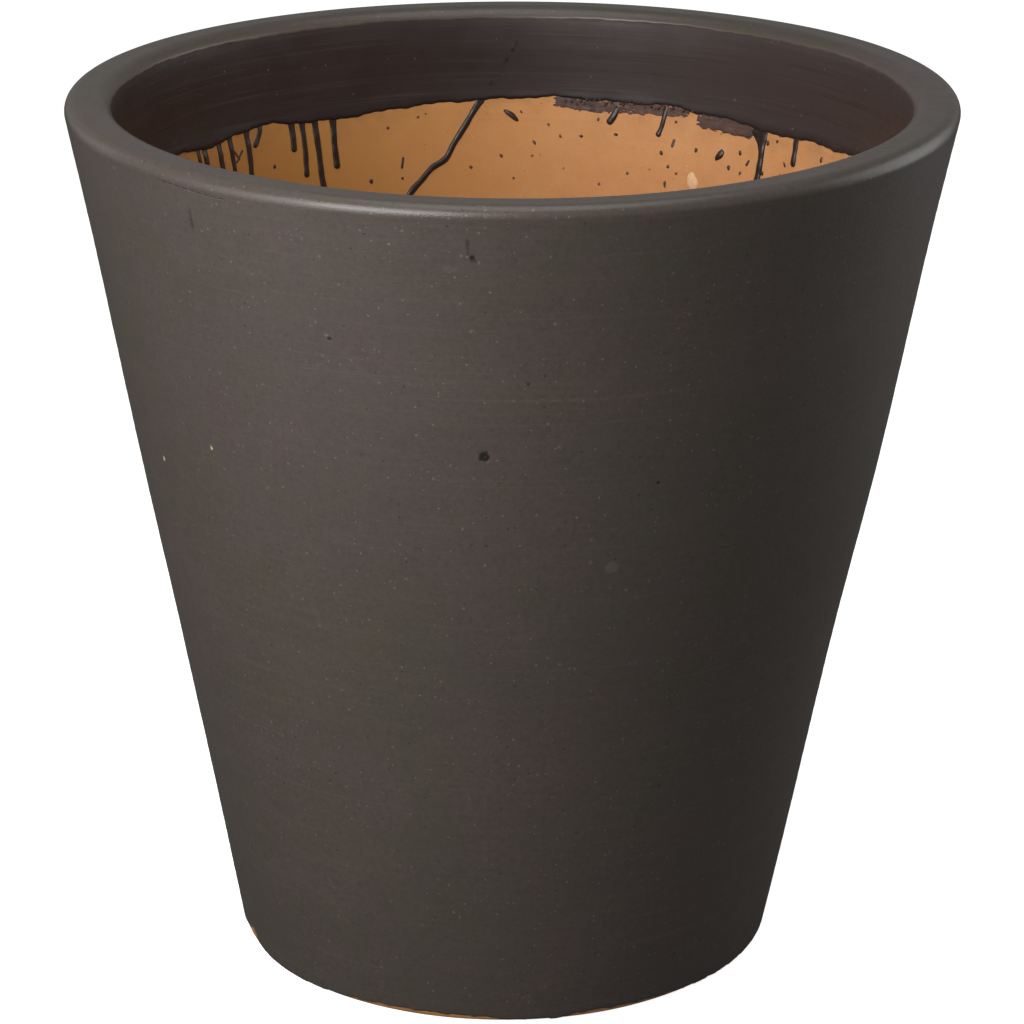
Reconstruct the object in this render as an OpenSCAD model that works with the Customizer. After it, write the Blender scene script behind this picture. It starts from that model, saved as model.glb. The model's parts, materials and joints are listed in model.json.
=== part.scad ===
// Large conical planter: a fired clay body with a thick rounded lip and a foot ring.
// A glaze coat covers its outside and lip, and a brushed band covers the top of its inner wall.
// The axis is Z, the ground is z = 0, and +Y is the back of the inner wall, where the glaze runs are.

/* [Overall size] */
// Diameter of the glazed rim at its widest
rim_d = 400; // [330:5:480]
// Height from the ground to the crown of the glazed lip
height = 402; // [330:2:490]
// Diameter of the foot, measured over its glaze
foot_d = 250; // [205:5:300]

/* [Clay body] */
// Thickness of the lip, measured level
lip_w = 19.6; // [16:0.2:24]
// Rounding of the lip's outer edge
lip_outer_r = 4.6; // [3:0.2:7]
// Rounding of the lip's inner edge
lip_inner_r = 7; // [3:0.2:8]
// Thickness of the wall below the lip, measured level
wall_t = 15; // [11:0.5:18]
// Height in which the lip thins to the wall
throat_h = 40; // [30:1:55]
// Thickness of the floor
floor_t = 18; // [14:0.5:24]
// Fillet between the floor and the inner wall
floor_fillet_r = 14; // [8:1:24]
// Rounding of the foot's outer edge
foot_edge_r = 2.2; // [1:0.2:3]
// Width of the foot ring that the pot stands on
foot_ring_w = 28; // [20:1:40]
// Depth of the hollow inside the foot ring
foot_recess = 3; // [2:0.5:5]

/* [Drain hole] */
// Diameter of the drain hole
drain_d = 25; // [15:1:35]
// Chamfer round the top of the drain hole
drain_chamfer = 1.5; // [0.5:0.5:3]

/* [Glaze] */
// Thickness of the glaze coats
glaze_t = 0.8; // [0.4:0.1:1.2]
// Height of the bare clay line at the foot
bare_foot_h = 2.6; // [2:0.2:6]
// Depth of the inner band's lower edge below the crown
band_depth = 48; // [36:1:64]
// Thickness of the runs of glaze below the band
run_t = 1; // [0.6:0.1:1.6]
// Width of a run of glaze
run_w = 2.7; // [1.8:0.1:3.4]
// Thickness of the drops and ticks
spatter_t = 0.6; // [0.3:0.1:1]
// Thickness of the brush strokes and the slip dab
stroke_t = 0.4; // [0.2:0.1:0.6]

/* [Hidden] */
$fn = 144;

// Steps in the foot's arc, in each other arc, and in the throat's curve
foot_steps = 4;
arc_steps = 8;
throat_steps = 10;

// Every outline below is a list of [radius, height] points in the half plane of the axis.
crown_z = height - glaze_t;
band_z = height - band_depth;
floor_z = foot_recess + floor_t;

// The outer wall is the straight line that touches the foot's arc and the lip's arc.
foot_c = [foot_d / 2 - glaze_t - foot_edge_r, foot_edge_r];
lip_c = [rim_d / 2 - glaze_t - lip_outer_r, crown_z - lip_outer_r];
span = lip_c - foot_c;
lean = atan2(span.y, span.x) - 90 - asin((lip_outer_r - foot_edge_r) / norm(span));
out = [cos(lean), sin(lean)];
wall_foot = foot_c + foot_edge_r * out;
wall_slope = -out.y / out.x;

// A point of the given radius from c, on the arc at angle a
function on_arc(c, r, a) = c + r * [cos(a), sin(a)];
// Points of an arc about c from angle a to angle b
function arc(c, r, a, b, steps) = [for (i = [0:steps]) on_arc(c, r, a + (b - a) * i / steps)];
function reversed(p) = [for (i = [len(p) - 1:-1:0]) p[i]];
// Radius of the outer wall line at height z
function outer_r(z) = wall_foot.x + (z - wall_foot.y) * wall_slope;
// Radius at height z of the line that lies d inside the outer wall line, measured square to it
function inset_r(z, d) = outer_r(z) - d / out.x;

// The lip's inner arc touches the line that lies one lip width inside the outer wall.
inner_c_z = crown_z - lip_inner_r;
inner_c = [inset_r(inner_c_z, lip_w * out.x - lip_inner_r), inner_c_z];
throat_z = on_arc(inner_c, lip_inner_r, 180 + lean).y;

// Wall thickness and its rate of change, where u runs from 0 at the lip to 1 at the throat's end
function throat_u(z) = min(1, max(0, (throat_z - z) / throat_h));
function thick(z) = let (u = throat_u(z)) lip_w + (wall_t - lip_w) * u * u * (3 - 2 * u);
function thinning(z) = let (u = throat_u(z)) (lip_w - wall_t) * 6 * u * (1 - u) / throat_h;
// Point of the inner wall at height z, and the direction that points square into the pot
function inner_point(z) = [outer_r(z) - thick(z), z];
function inward(z) = let (s = wall_slope - thinning(z)) [-1, s] / norm([1, s]);
// Heights of the inner wall's points from the lip down to the end of the throat
throat_heights = [for (i = [0:throat_steps]) throat_z - throat_h * i / throat_steps];
function above(z) = [for (h = throat_heights) if (h > z + 0.01) h];
function below(z) = [for (h = throat_heights) if (h < z - 0.01) h];

// The fillet inside touches the wall and the floor.
fillet_c_z = floor_z + floor_fillet_r;
fillet_c = [inset_r(fillet_c_z, wall_t * out.x + floor_fillet_r), fillet_c_z];

// Depth below the band's edge that no glaze on the bare wall reaches
splash_depth = 62;

// A coat on the inner wall at the given heights, t thick
module wall_coat(heights, t)
    rotate_extrude()
        polygon(concat(
            [for (z = heights) inner_point(z)],
            reversed([for (z = heights) inner_point(z) + t * inward(z)])
        ));

// The part of a thin coat on the bare inner wall, t thick, that flat shapes cut out of it
module on_bare_wall(t)
    intersection() {
        wall_coat(concat([band_z], below(band_z), [band_z - splash_depth]), t);
        children();
    }

// Flat shapes pushed out through the inner wall. x runs along the wall and y is the height.
// The angle is counted from the back of the pot towards +X.
module facing(angle)
    rotate([0, 0, -angle])
        translate([0, rim_d / 2, 0])
            rotate([90, 0, 0])
                linear_extrude(height = rim_d / 4)
                    children();

// Direction of a path at its point i, and the points to one side of all but its last point
function heading(p, i) =
    let (a = p[max(i - 1, 0)], b = p[min(i + 1, len(p) - 1)]) (b - a) / norm(b - a);
function beside(p, offset) = [for (i = [0:len(p) - 2])
    let (d = heading(p, i)) p[i] + offset * [-d.y, d.x]];

// A stream of liquid along a path, w wide, that ends in a fuller drop
module stream(p, w) {
    d = heading(p, len(p) - 1);
    turn = atan2(d.y, d.x);
    polygon(concat(
        beside(p, w / 2),
        arc(p[len(p) - 1], w * drop_swell / 2, turn + 120, turn - 120, arc_steps),
        reversed(beside(p, -w / 2))
    ));
}

// Radius of the bare wall under the band, from which angles along the wall become lengths
bare_r = inner_point(band_z).x;
// Runs that start at the band: angle, length, sideways drift
runs = [
    [-58.4, 20, 0], [-56.8, 25, 0], [-53.2, 30, 0], [-50.6, 35, -0.5], [-46.8, 42, -1.5],
    [-43.9, 9, -4], [-37.7, 15, 0], [-35.6, 28, -0.5], [-33.2, 46, 2], [-30, 26, 0],
    [17.7, 8.5, -4], [25.9, 12, -3.5], [44.6, 40, -1], [51.5, 15, 0.5],
    [84, 17, 1], [88, 33, 1.5], [112, 24, 0], [131, 11, -1], [134, 38, -2], [158, 21, 0],
    [176, 29, 1], [-171, 13, 0], [-149, 35, 2], [-145, 18, 0], [-118, 26, -1], [-92, 14, 0]
];
// The long slanting run: angle and depth of its turns, after its start at the band
long_run = [
    [-5, 0], [-7, 8], [-9.3, 18], [-10.8, 26], [-13.3, 30], [-15.1, 35.5], [-17.1, 41.5], [-19, 52]
];
// Steps in a drifting run, and how much wider its end drop is than the run
drift_steps = 3;
drop_swell = 1.2;

module glaze_runs() color("#1d1917")
    on_bare_wall(run_t) {
        for (r = runs)
            facing(r[0])
                stream([for (i = [0:drift_steps])
                    let (u = i / drift_steps) [r[2] * u * u, band_z + 2 - (r[1] + 2) * u]], run_w);
        facing(long_run[2][0])
            stream(concat(
                [[bare_r * sin(long_run[0][0] - long_run[2][0]) + 1, band_z + 4]],
                [for (t = long_run) [bare_r * sin(t[0] - long_run[2][0]), band_z - t[1]]]
            ), run_w);
    }

// Round drops: angle, depth below the band's edge, diameter
drops = [
    [-42, 20, 2], [-24, 34, 2.2], [-20.4, 9, 1.6], [-18.4, 34, 1.6], [-15.2, 5, 1.4], [-6.6, 30, 1.8],
    [-1.5, 25, 1.8], [0.6, 36, 1.4], [3.7, 25, 1.4], [4, 18, 1.8], [6.3, 9.5, 1.6], [8.3, 15, 1.6],
    [11.8, 14.5, 1.8], [14.5, 6, 1.6], [15.2, 37, 1.6], [17.6, 13, 1.8], [20, 31, 1.6], [25.7, 20, 2],
    [26.8, 34, 2], [27.1, 26, 1.8], [28.7, 29, 1.6], [31.9, 16, 2], [36.5, 17, 3.8], [38.4, 22, 2],
    [40.3, 14, 2], [40.8, 24, 1.8], [47.5, 5, 1.6], [48, 24, 2.2], [58.1, 8, 2.2], [57, 30, 2],
    [78, 22, 2], [95, 12, 1.6], [99, 30, 2.2], [106, 16, 1.8], [120, 34, 2], [127, 19, 2.4],
    [143, 13, 1.6], [151, 27, 2], [167, 36, 1.8], [-179, 18, 2.2], [-164, 25, 1.6], [-157, 10, 2],
    [-138, 31, 2.4], [-130, 15, 1.8], [-108, 20, 2], [-101, 36, 1.6], [-79, 24, 2.2], [-70, 13, 1.8]
];
// Ticks thrown from a brush: angle, depth, length, slant in degrees
ticks = [
    [-49.2, 9, 4, 30], [-18.1, 24, 5, 8], [0, 4, 6, -50], [27.7, 13, 3.5, 10], [42.1, 17, 3, 25],
    [49.6, 13, 3, -35], [103, 6, 4, 30], [-123, 22, 5, -20]
];
tick_w = 1.8;

module glaze_spatter() color("#241d1b")
    on_bare_wall(spatter_t) {
        for (d = drops)
            facing(d[0])
                translate([0, band_z - d[1]])
                    circle(d = d[2], $fn = 24);
        for (t = ticks)
            facing(t[0])
                translate([0, band_z - t[1]])
                    rotate(-t[3])
                        stream([[0, 0], [0, -t[2]]], tick_w);
    }

// Brush strokes just under the band: angle of the start, angle of the end, depth, width
strokes = [[7.5, 13, 2.4, 1.6], [19, 23.5, 2.8, 1.6], [32.4, 41, 3.6, 3.4]];

module brush_marks() color("#4b3b38")
    on_bare_wall(stroke_t)
        for (s = strokes)
            let (mid = (s[0] + s[1]) / 2, half = bare_r * sin((s[1] - s[0]) / 2))
                facing(mid)
                    stream([[-half, band_z - s[2]], [half, band_z - s[2]]], s[3]);

// The dab of slip: angle, depth, width and length
dab = [31.7, 31, 5.6, 8];

module slip_dab() color("#e3b98c")
    on_bare_wall(stroke_t)
        facing(dab[0])
            stream([[0, band_z - dab[1] + dab[3] / 2], [0, band_z - dab[1]]], dab[2]);

// The clay's outline, from the foot up the outside, over the lip and down the inside
module clay_body() color("#b97b49")
    rotate_extrude()
        polygon(concat(
            arc(foot_c, foot_edge_r, -90, lean, foot_steps),
            [[outer_r(bare_foot_h), bare_foot_h]],
            arc(lip_c, lip_outer_r, lean, 90, arc_steps),
            arc(inner_c, lip_inner_r, 90, 180 + lean, arc_steps),
            [for (z = concat(above(band_z), [band_z], below(band_z)))
                if (z < throat_z - 0.01) inner_point(z)],
            arc(fillet_c, floor_fillet_r, lean, -90, arc_steps),
            [
                [drain_d / 2 + drain_chamfer, floor_z],
                [drain_d / 2, floor_z - drain_chamfer],
                [drain_d / 2, foot_recess],
                [foot_d / 2 - glaze_t - foot_ring_w - foot_recess, foot_recess],
                [foot_d / 2 - glaze_t - foot_ring_w, 0]
            ]
        ));

// The outer coat follows the clay from the bare line at the foot to the lip's inner edge.
module outer_glaze() color("#564e48")
    rotate_extrude()
        polygon(concat(
            [[outer_r(bare_foot_h), bare_foot_h]],
            arc(lip_c, lip_outer_r, lean, 90, arc_steps),
            arc(inner_c, lip_inner_r, 90, 180 + lean, arc_steps),
            reversed(arc(inner_c, lip_inner_r + glaze_t, 90, 180 + lean, arc_steps)),
            reversed(arc(lip_c, lip_outer_r + glaze_t, lean, 90, arc_steps)),
            [[outer_r(bare_foot_h), bare_foot_h] + glaze_t * out]
        ));

// The band's upper edge meets the outer coat at the lip's inner edge.
module inner_glaze_band() color("#3a2d2a")
    wall_coat(concat(above(band_z), [band_z]), glaze_t);

clay_body();
outer_glaze();
inner_glaze_band();
glaze_runs();
glaze_spatter();
brush_marks();
slip_dab();
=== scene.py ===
import json
import math

import bmesh
import bpy
import numpy as np
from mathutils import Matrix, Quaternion, Vector, noise


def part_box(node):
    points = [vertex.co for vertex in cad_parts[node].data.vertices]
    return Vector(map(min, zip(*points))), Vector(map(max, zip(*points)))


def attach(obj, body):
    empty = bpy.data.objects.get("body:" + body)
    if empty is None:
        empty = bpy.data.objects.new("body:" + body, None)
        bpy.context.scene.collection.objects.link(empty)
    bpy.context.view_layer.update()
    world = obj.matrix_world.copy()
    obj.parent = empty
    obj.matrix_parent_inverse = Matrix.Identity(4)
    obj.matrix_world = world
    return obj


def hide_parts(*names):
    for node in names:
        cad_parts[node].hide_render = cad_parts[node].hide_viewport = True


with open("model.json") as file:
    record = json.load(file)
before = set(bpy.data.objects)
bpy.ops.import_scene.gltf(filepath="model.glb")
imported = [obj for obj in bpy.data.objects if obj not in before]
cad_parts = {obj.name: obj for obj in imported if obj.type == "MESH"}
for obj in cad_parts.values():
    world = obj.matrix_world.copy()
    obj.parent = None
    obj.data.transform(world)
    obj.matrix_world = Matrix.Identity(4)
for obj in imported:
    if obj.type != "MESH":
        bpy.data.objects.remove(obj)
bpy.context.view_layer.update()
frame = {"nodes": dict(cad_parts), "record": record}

scene = bpy.context.scene
MM = 0.001

# ---------------------------------------------------------------------------------------------
# Camera. A long lens, a little above the rim, that looks down into the mouth of the pot.
# ---------------------------------------------------------------------------------------------
LENS_MM = 126.7
SENSOR_MM = 36
CAMERA_RISE = math.radians(19.08)
CAMERA_ROLL = math.radians(0.11)
CAMERA_AWAY = 4.181  # times the pot's height
LOOK_RIGHT = 1.3 * MM

pot_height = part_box("outer_glaze")[1].z
look_at = Vector((LOOK_RIGHT, 0, 0.4983 * pot_height))
look_along = Vector((0, math.cos(CAMERA_RISE), -math.sin(CAMERA_RISE)))
camera = bpy.data.objects.new("camera", bpy.data.cameras.new("camera"))
camera.data.sensor_width = SENSOR_MM
camera.data.lens = LENS_MM
camera.location = look_at - look_along * CAMERA_AWAY * pot_height
camera.rotation_mode = "QUATERNION"
camera.rotation_quaternion = look_along.to_track_quat("-Z", "Y") @ Quaternion((0, 0, 1), CAMERA_ROLL)
scene.collection.objects.link(camera)
scene.camera = camera

# ---------------------------------------------------------------------------------------------
# Clay body: one thick cone of orange terracotta, turned on a wheel, with a rounded lip, a flat
# floor with a drain hole, and a foot ring. It carries every coat of glaze.
# Angles are counted round the pot from its far side (+Y) towards +X, in radians.
# ---------------------------------------------------------------------------------------------
LIP_WIDTH = 19.6 * MM
LIP_OUTER_ROUND = 4.6 * MM
LIP_INNER_ROUND = 7 * MM
WALL = 15 * MM
THROAT = 40 * MM
FOOT_ROUND = 2.2 * MM
FOOT_RING = 28 * MM
FLOOR_FILLET = 14 * MM
DRAIN_EDGE = 1.5 * MM
RING_EDGE = 1 * MM
# How far the hand-turned wall stands out from a true cone: (height, millimetres)
BELLY = [(0, 0.6), (60, 0.4), (110, 0.1), (150, 0.0), (225, 0.7), (300, 0.1), (340, -0.3), (402, -0.1)]
# How far the wall's rings have drifted towards +X: (height, millimetres)
SWAY = [(0, -2.2), (60, -1.5), (150, -0.9), (190, -0.3), (225, 0.3), (300, 0.7), (402, 1.2)]

# Finger ridges: the stretch that has them, where they stop, and their height
RIDGES = [("outside", "lip", 0.05 * MM), ("inside", "fillet", 0.12 * MM), ("floor", "drain", 0.2 * MM)]
RIDGE_PITCH = 7.5 * MM
RIDGE_FADE = 12 * MM
# The rim isn't quite level: how far it stands above its true height at the far side, how much
# lower its front is than that, how much higher its two sides are than a flat rim's, and a ripple
RIM_FAR = 0.5 * MM
RIM_TILT = 5.5 * MM
RIM_SADDLE = 1.5 * MM
RIM_RIPPLE = 0.15 * MM
# Where the inner glaze band ends: (degrees from the far side, millimetres below the crown)
BAND_EDGE = [
    (-180, 48), (-160, 50.5), (-142, 48.5), (-120, 46.5), (-100, 49), (-80, 50.5), (-68, 49),
    (-57.7, 51.7), (-54, 51.9), (-49.2, 49.7), (-45.9, 48.5), (-43.3, 47.8), (-37.9, 49.3),
    (-32.3, 50.5), (-25.1, 49.9), (-18.2, 48.1), (-11.6, 46.8), (-5, 45.9), (1.4, 45), (7.2, 44.2),
    (14.5, 45.2), (21.2, 45.6), (26.5, 44.9), (31, 46.6), (35.5, 47.4), (41.4, 48.8), (45.6, 50.6),
    (52.1, 49.5), (62.4, 49.6), (75, 47), (95, 49.5), (118, 47.5), (140, 50), (165, 46.5), (180, 48),
]

clay_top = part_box("clay_body")[1]
mounts = {m["name"]: m for m in frame["record"]["mounts"]}
floor_z = mounts["floor"]["pos_m"][2]
drain_r = mounts["drain_hole"]["dims"]["r_mm"] * MM
clay_points = np.array([v.co for v in frame["nodes"]["clay_body"].data.vertices])
foot_r = np.hypot(clay_points[:, 0], clay_points[:, 1])[clay_points[:, 2] < 0.1 * MM].max()
recess_z = clay_points[:, 2][np.hypot(clay_points[:, 0], clay_points[:, 1]) < 0.5 * foot_r].min()

# The outline runs from the foot up the outside, over the lip, down the inside, across the floor
# and back along the underside, as [radius, height] points.
lip_c = np.array([clay_top.x - LIP_OUTER_ROUND, clay_top.z - LIP_OUTER_ROUND])
foot_c = np.array([foot_r, FOOT_ROUND])
span = lip_c - foot_c
lean = (math.atan2(span[1], span[0]) - math.pi / 2
        - math.asin((LIP_OUTER_ROUND - FOOT_ROUND) / math.hypot(*span)))
square = np.array([math.cos(lean), math.sin(lean)])
wall_foot = foot_c + FOOT_ROUND * square


def outer_r(z):
    return wall_foot[0] - (z - wall_foot[1]) * square[1] / square[0]


def arc(centre, radius, start, end, step=0.5 * MM):
    turns = np.linspace(start, end, max(4, int(abs(end - start) * radius / step) + 1))
    return np.array(centre) + radius * np.stack([np.cos(turns), np.sin(turns)], 1)


def line(start, end, step=1 * MM):
    start, end = np.array(start), np.array(end)
    steps = max(2, int(np.hypot(*(end - start)) / step))
    return start + (end - start) * np.linspace(0, 1, steps + 1)[1:-1, None]


inner_c_z = clay_top.z - LIP_INNER_ROUND
inner_c = [outer_r(inner_c_z) - LIP_WIDTH + LIP_INNER_ROUND / square[0], inner_c_z]
throat_z = inner_c_z - LIP_INNER_ROUND * square[1]
fillet_c_z = floor_z + FLOOR_FILLET
fillet_c = [outer_r(fillet_c_z) - WALL - FLOOR_FILLET / square[0], fillet_c_z]


def inner_wall(z):
    u = np.clip((throat_z - z) / THROAT, 0, 1)
    return outer_r(z) - LIP_WIDTH + (LIP_WIDTH - WALL) * u * u * (3 - 2 * u)


inner_z = np.arange(throat_z, fillet_c_z + FLOOR_FILLET * square[1], -0.5 * MM)
ring_in = foot_r + FOOT_ROUND - FOOT_RING
stretches = {
    "foot": arc(foot_c, FOOT_ROUND, -math.pi / 2, lean),
    "outside": line(wall_foot, lip_c + LIP_OUTER_ROUND * square),
    "lip": arc(lip_c, LIP_OUTER_ROUND, lean, math.pi / 2),
    "lip_inside": arc(inner_c, LIP_INNER_ROUND, math.pi / 2, math.pi + lean),
    "inside": np.stack([inner_wall(inner_z), inner_z], 1)[1:-1],
    "fillet": arc(fillet_c, FLOOR_FILLET, lean, -math.pi / 2),
    "floor": line([fillet_c[0], floor_z], [drain_r + DRAIN_EDGE, floor_z]),
    "drain": np.concatenate([
        arc([drain_r + DRAIN_EDGE, floor_z - DRAIN_EDGE], DRAIN_EDGE, math.pi / 2, math.pi),
        line([drain_r, floor_z - DRAIN_EDGE], [drain_r, recess_z + DRAIN_EDGE]),
        arc([drain_r + DRAIN_EDGE, recess_z + DRAIN_EDGE], DRAIN_EDGE, math.pi, math.pi * 1.5),
    ]),
    "under": line([drain_r + DRAIN_EDGE, recess_z], [ring_in - recess_z, recess_z]),
    "ring": np.concatenate([
        arc([ring_in - recess_z, 0], recess_z, math.pi / 2, math.pi / 6),
        arc([ring_in + RING_EDGE, RING_EDGE], RING_EDGE, -math.pi * 0.8, -math.pi / 2),
        line([ring_in + RING_EDGE, 0], [foot_r, 0]),
    ]),
}
outline = np.concatenate(list(stretches.values()))
along = np.concatenate([[0], np.cumsum(np.hypot(*np.diff(outline, axis=0).T))])
heading = np.gradient(outline, axis=0)
heading /= np.hypot(*heading.T)[:, None]
firsts = np.cumsum([0] + [len(points) for points in stretches.values()][:-1])
starts = dict(zip(stretches, along[firsts]))
starts["end"] = along[-1]
inner = (along >= starts["lip_inside"]) & (along < starts["floor"])


def at_depth(depth):
    """Place along the outline of the inner wall's point at this depth below the pot's crown."""
    return np.interp(pot_height - depth, outline[inner][::-1, 1], along[inner][::-1])


def smooth(points, x):
    """A smooth curve through (place, value) points, read at x."""
    place, value = np.array(points, float).T
    slope = np.gradient(value, place)
    i = np.clip(np.searchsorted(place, x) - 1, 0, len(place) - 2)
    gap = place[i + 1] - place[i]
    u = np.clip((x - place[i]) / gap, 0, 1)
    return ((1 + 2 * u) * (1 - u) ** 2 * value[i] + u * (1 - u) ** 2 * gap * slope[i]
            + u * u * (3 - 2 * u) * value[i + 1] + u * u * (u - 1) * gap * slope[i + 1])


def handmade(angle, r, z):
    """How far a ring of the pot stands out from its true shape. The floor's middle stays true."""
    out = smooth(BELLY, z / MM) + smooth(SWAY, z / MM) * np.sin(angle)
    out = out + 0.16 * np.sin(2 * angle + 0.7 + 6 * z) + 0.11 * np.sin(3 * angle - 1.9 - 14 * z)
    out = out + 0.07 * np.sin(7 * angle + 31 * z) + 0.04 * np.sin(11 * angle - 47 * z + 2)
    return out * MM * np.clip((r - 2 * drain_r) / (foot_r - 2 * drain_r), 0, 1)


def turning_ridges(s, angle):
    """Height of the spiral ridges that the potter's fingers leave on each stretch of the wall."""
    height = np.zeros(np.broadcast(s, angle).shape)
    for stretch, following, ridge in RIDGES:
        inside = np.minimum(s - starts[stretch], starts[following] - s) / RIDGE_FADE
        turn = 2 * math.pi * s / RIDGE_PITCH - angle + 0.9 * np.sin(61 * s + 2 * angle)
        swell = 0.7 + 0.3 * np.sin(3 * angle + 23 * s)
        height = height + ridge * np.clip(inside, 0, 1) * swell * np.sin(turn)
    return height


def on_clay(s, angle, lift=0.0):
    """Points that lie lift above the clay, s along its outline and at the given angle."""
    lift = lift + turning_ridges(s, angle)
    r = np.interp(s, along, outline[:, 0]) + lift * np.interp(s, along, heading[:, 1])
    z = np.interp(s, along, outline[:, 1]) - lift * np.interp(s, along, heading[:, 0])
    r = r + handmade(angle, r, z)
    level = RIM_FAR - RIM_TILT * (1 - np.cos(angle)) / 2 + RIM_SADDLE * np.sin(angle) ** 2
    z = z + (level + RIM_RIPPLE * np.sin(2 * angle + 1.1)) * np.clip(z / clay_top.z, 0, 1) ** 4
    return np.stack([r * np.sin(angle), r * np.cos(angle), z], -1)


def add_piece(name, points, faces, node=None, slot=None, material=None, **masks):
    """A smooth mesh that rides on the pot. masks are values from 0 to 1 at each of its points."""
    mesh = bpy.data.meshes.new(name)
    mesh.from_pydata(np.reshape(points, (-1, 3)).tolist(), [], faces)
    mesh.polygons.foreach_set("use_smooth", [True] * len(mesh.polygons))
    for mask, values in masks.items():
        mesh.attributes.new(mask, "FLOAT", "POINT").data.foreach_set("value", np.ravel(values))
    mesh.materials.append(material)
    piece = bpy.data.objects.new(name, mesh)
    scene.collection.objects.link(piece)
    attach(piece, "root")
    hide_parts(node)
    return piece


def ring_faces(rows, columns):
    """Faces of a closed skin whose columns go round the pot and whose rows go round its thickness."""
    i = np.arange(rows)[:, None] * columns
    j = np.arange(columns)[None]
    next_i, next_j = (i + columns) % (rows * columns), (j + 1) % columns
    return np.stack([i + j, next_i + j, next_i + next_j, i + next_j], -1).reshape(-1, 4).tolist()


def round_the_pot(columns):
    return np.linspace(0, 2 * math.pi, columns, endpoint=False)[None]


def band_edge(angle):
    """Depth below the crown of the inner band's lower edge, which the wet glaze pulls down at runs."""
    degrees = (np.degrees(angle) + 180) % 360 - 180
    depth = smooth(BAND_EDGE, degrees) + 0.35 * np.sin(37 * angle) + 0.2 * np.sin(83 * angle + 1)
    return (depth + 0.15 * np.sin(171 * angle + 2)) * MM


def new_group(name, inputs, output):
    """A shader node group with named inputs and one named output value."""
    group = bpy.data.node_groups.new(name, "ShaderNodeTree")
    for label, value in inputs.items():
        kind = "NodeSocketVector" if label == "Position" else "NodeSocketFloat"
        socket = group.interface.new_socket(label, in_out="INPUT", socket_type=kind)
        if value is not None:
            socket.default_value = value
    group.interface.new_socket(output, in_out="OUTPUT", socket_type="NodeSocketFloat")
    return group, group.nodes.new("NodeGroupInput").outputs, group.nodes.new("NodeGroupOutput").inputs


def add(tree, kind, sockets=None, **settings):
    """Adds a shader node. sockets maps its inputs to values, or to the outputs that feed them."""
    made = tree.nodes.new("ShaderNode" + kind)
    for setting, value in settings.items():
        setattr(made, setting, value)
    for socket, value in (sockets or {}).items():
        if isinstance(value, bpy.types.NodeSocket):
            tree.links.new(value, made.inputs[socket])
        else:
            made.inputs[socket].default_value = value
    return made


def place(tree, group, **sockets):
    """Places a node group and returns what it puts out."""
    labels = {label.replace("_", " ").capitalize(): value for label, value in sockets.items()}
    return add(tree, "Group", labels, node_tree=group).outputs[0]


def new_material(name):
    """A material whose nodes hold one Principled shader. Returns it with its node tree and shader."""
    material = bpy.data.materials.new(name)
    material.use_nodes = True
    tree = material.node_tree
    tree.nodes.clear()
    shader = tree.nodes.new("ShaderNodeBsdfPrincipled")
    tree.links.new(shader.outputs[0], tree.nodes.new("ShaderNodeOutputMaterial").inputs[0])
    return material, tree, shader


def connect(tree, shader, colour, roughness, height, depth_mm):
    """Feeds the shader. height is a relief from 0 to 1 that stands for depth_mm of real depth."""
    tree.links.new(colour, shader.inputs["Base Color"])
    tree.links.new(roughness, shader.inputs["Roughness"])
    bump = add(tree, "Bump", {"Height": height, "Distance": depth_mm * MM})
    tree.links.new(bump.outputs[0], shader.inputs["Normal"])


def calc(tree, operation, *values):
    return add(tree, "Math", dict(enumerate(values)), operation=operation).outputs[0]


def ramp(tree, value, low, high, start=0.0, end=1.0):
    """start where value is low or less, end where it is high or more, and smooth between."""
    sockets = {"Value": value, "From Min": low, "From Max": high, "To Min": start, "To Max": end}
    return add(tree, "MapRange", sockets, interpolation_type="SMOOTHSTEP").outputs[0]


def tint(tree, factor, first, second, blend_type="MIX"):
    """first where factor is 0, second where it is 1. A colour is (red, green, blue) or a socket."""
    mix = add(tree, "Mix", {0: factor}, data_type="RGBA", blend_type=blend_type)
    for socket, colour in ((mix.inputs[6], first), (mix.inputs[7], second)):
        if isinstance(colour, bpy.types.NodeSocket):
            tree.links.new(colour, socket)
        else:
            socket.default_value = (*colour, 1)
    return mix.outputs[2]


def over(tree, colour, paint, factor, strength):
    """Lays a paint over the colour, by factor times strength."""
    return tint(tree, calc(tree, "MULTIPLY", factor, strength), colour, paint)


def cloud(tree, position, scale, detail=3.0, roughness=0.55):
    """Soft noise from 0 to 1, with scale patches to a metre."""
    sockets = {"Vector": position, "Scale": scale, "Detail": detail, "Roughness": roughness}
    return add(tree, "TexNoise", sockets).outputs[0]


def mask(tree, name):
    return add(tree, "Attribute", attribute_name=name).outputs["Fac"]


def object_position(tree):
    return add(tree, "TexCoord").outputs["Object"]


# Wheel lines: fine level lines round the pot, Lines of them to a metre of height. Turning leaves
# them in the clay, and a brush held against the turning pot leaves them in the glaze.
wheel_lines, given, out = new_group(
    "wheel lines", {"Position": None, "Lines": 900.0, "Waver": 9.0}, "Height")
stretch = add(wheel_lines, "CombineXYZ", {0: given["Waver"], 1: given["Waver"], 2: given["Lines"]})
stretched = add(wheel_lines, "VectorMath", {0: given["Position"], 1: stretch.outputs[0]},
                operation="MULTIPLY")
wheel_lines.links.new(cloud(wheel_lines, stretched.outputs[0], 1.0, 2.0), out["Height"])

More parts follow.
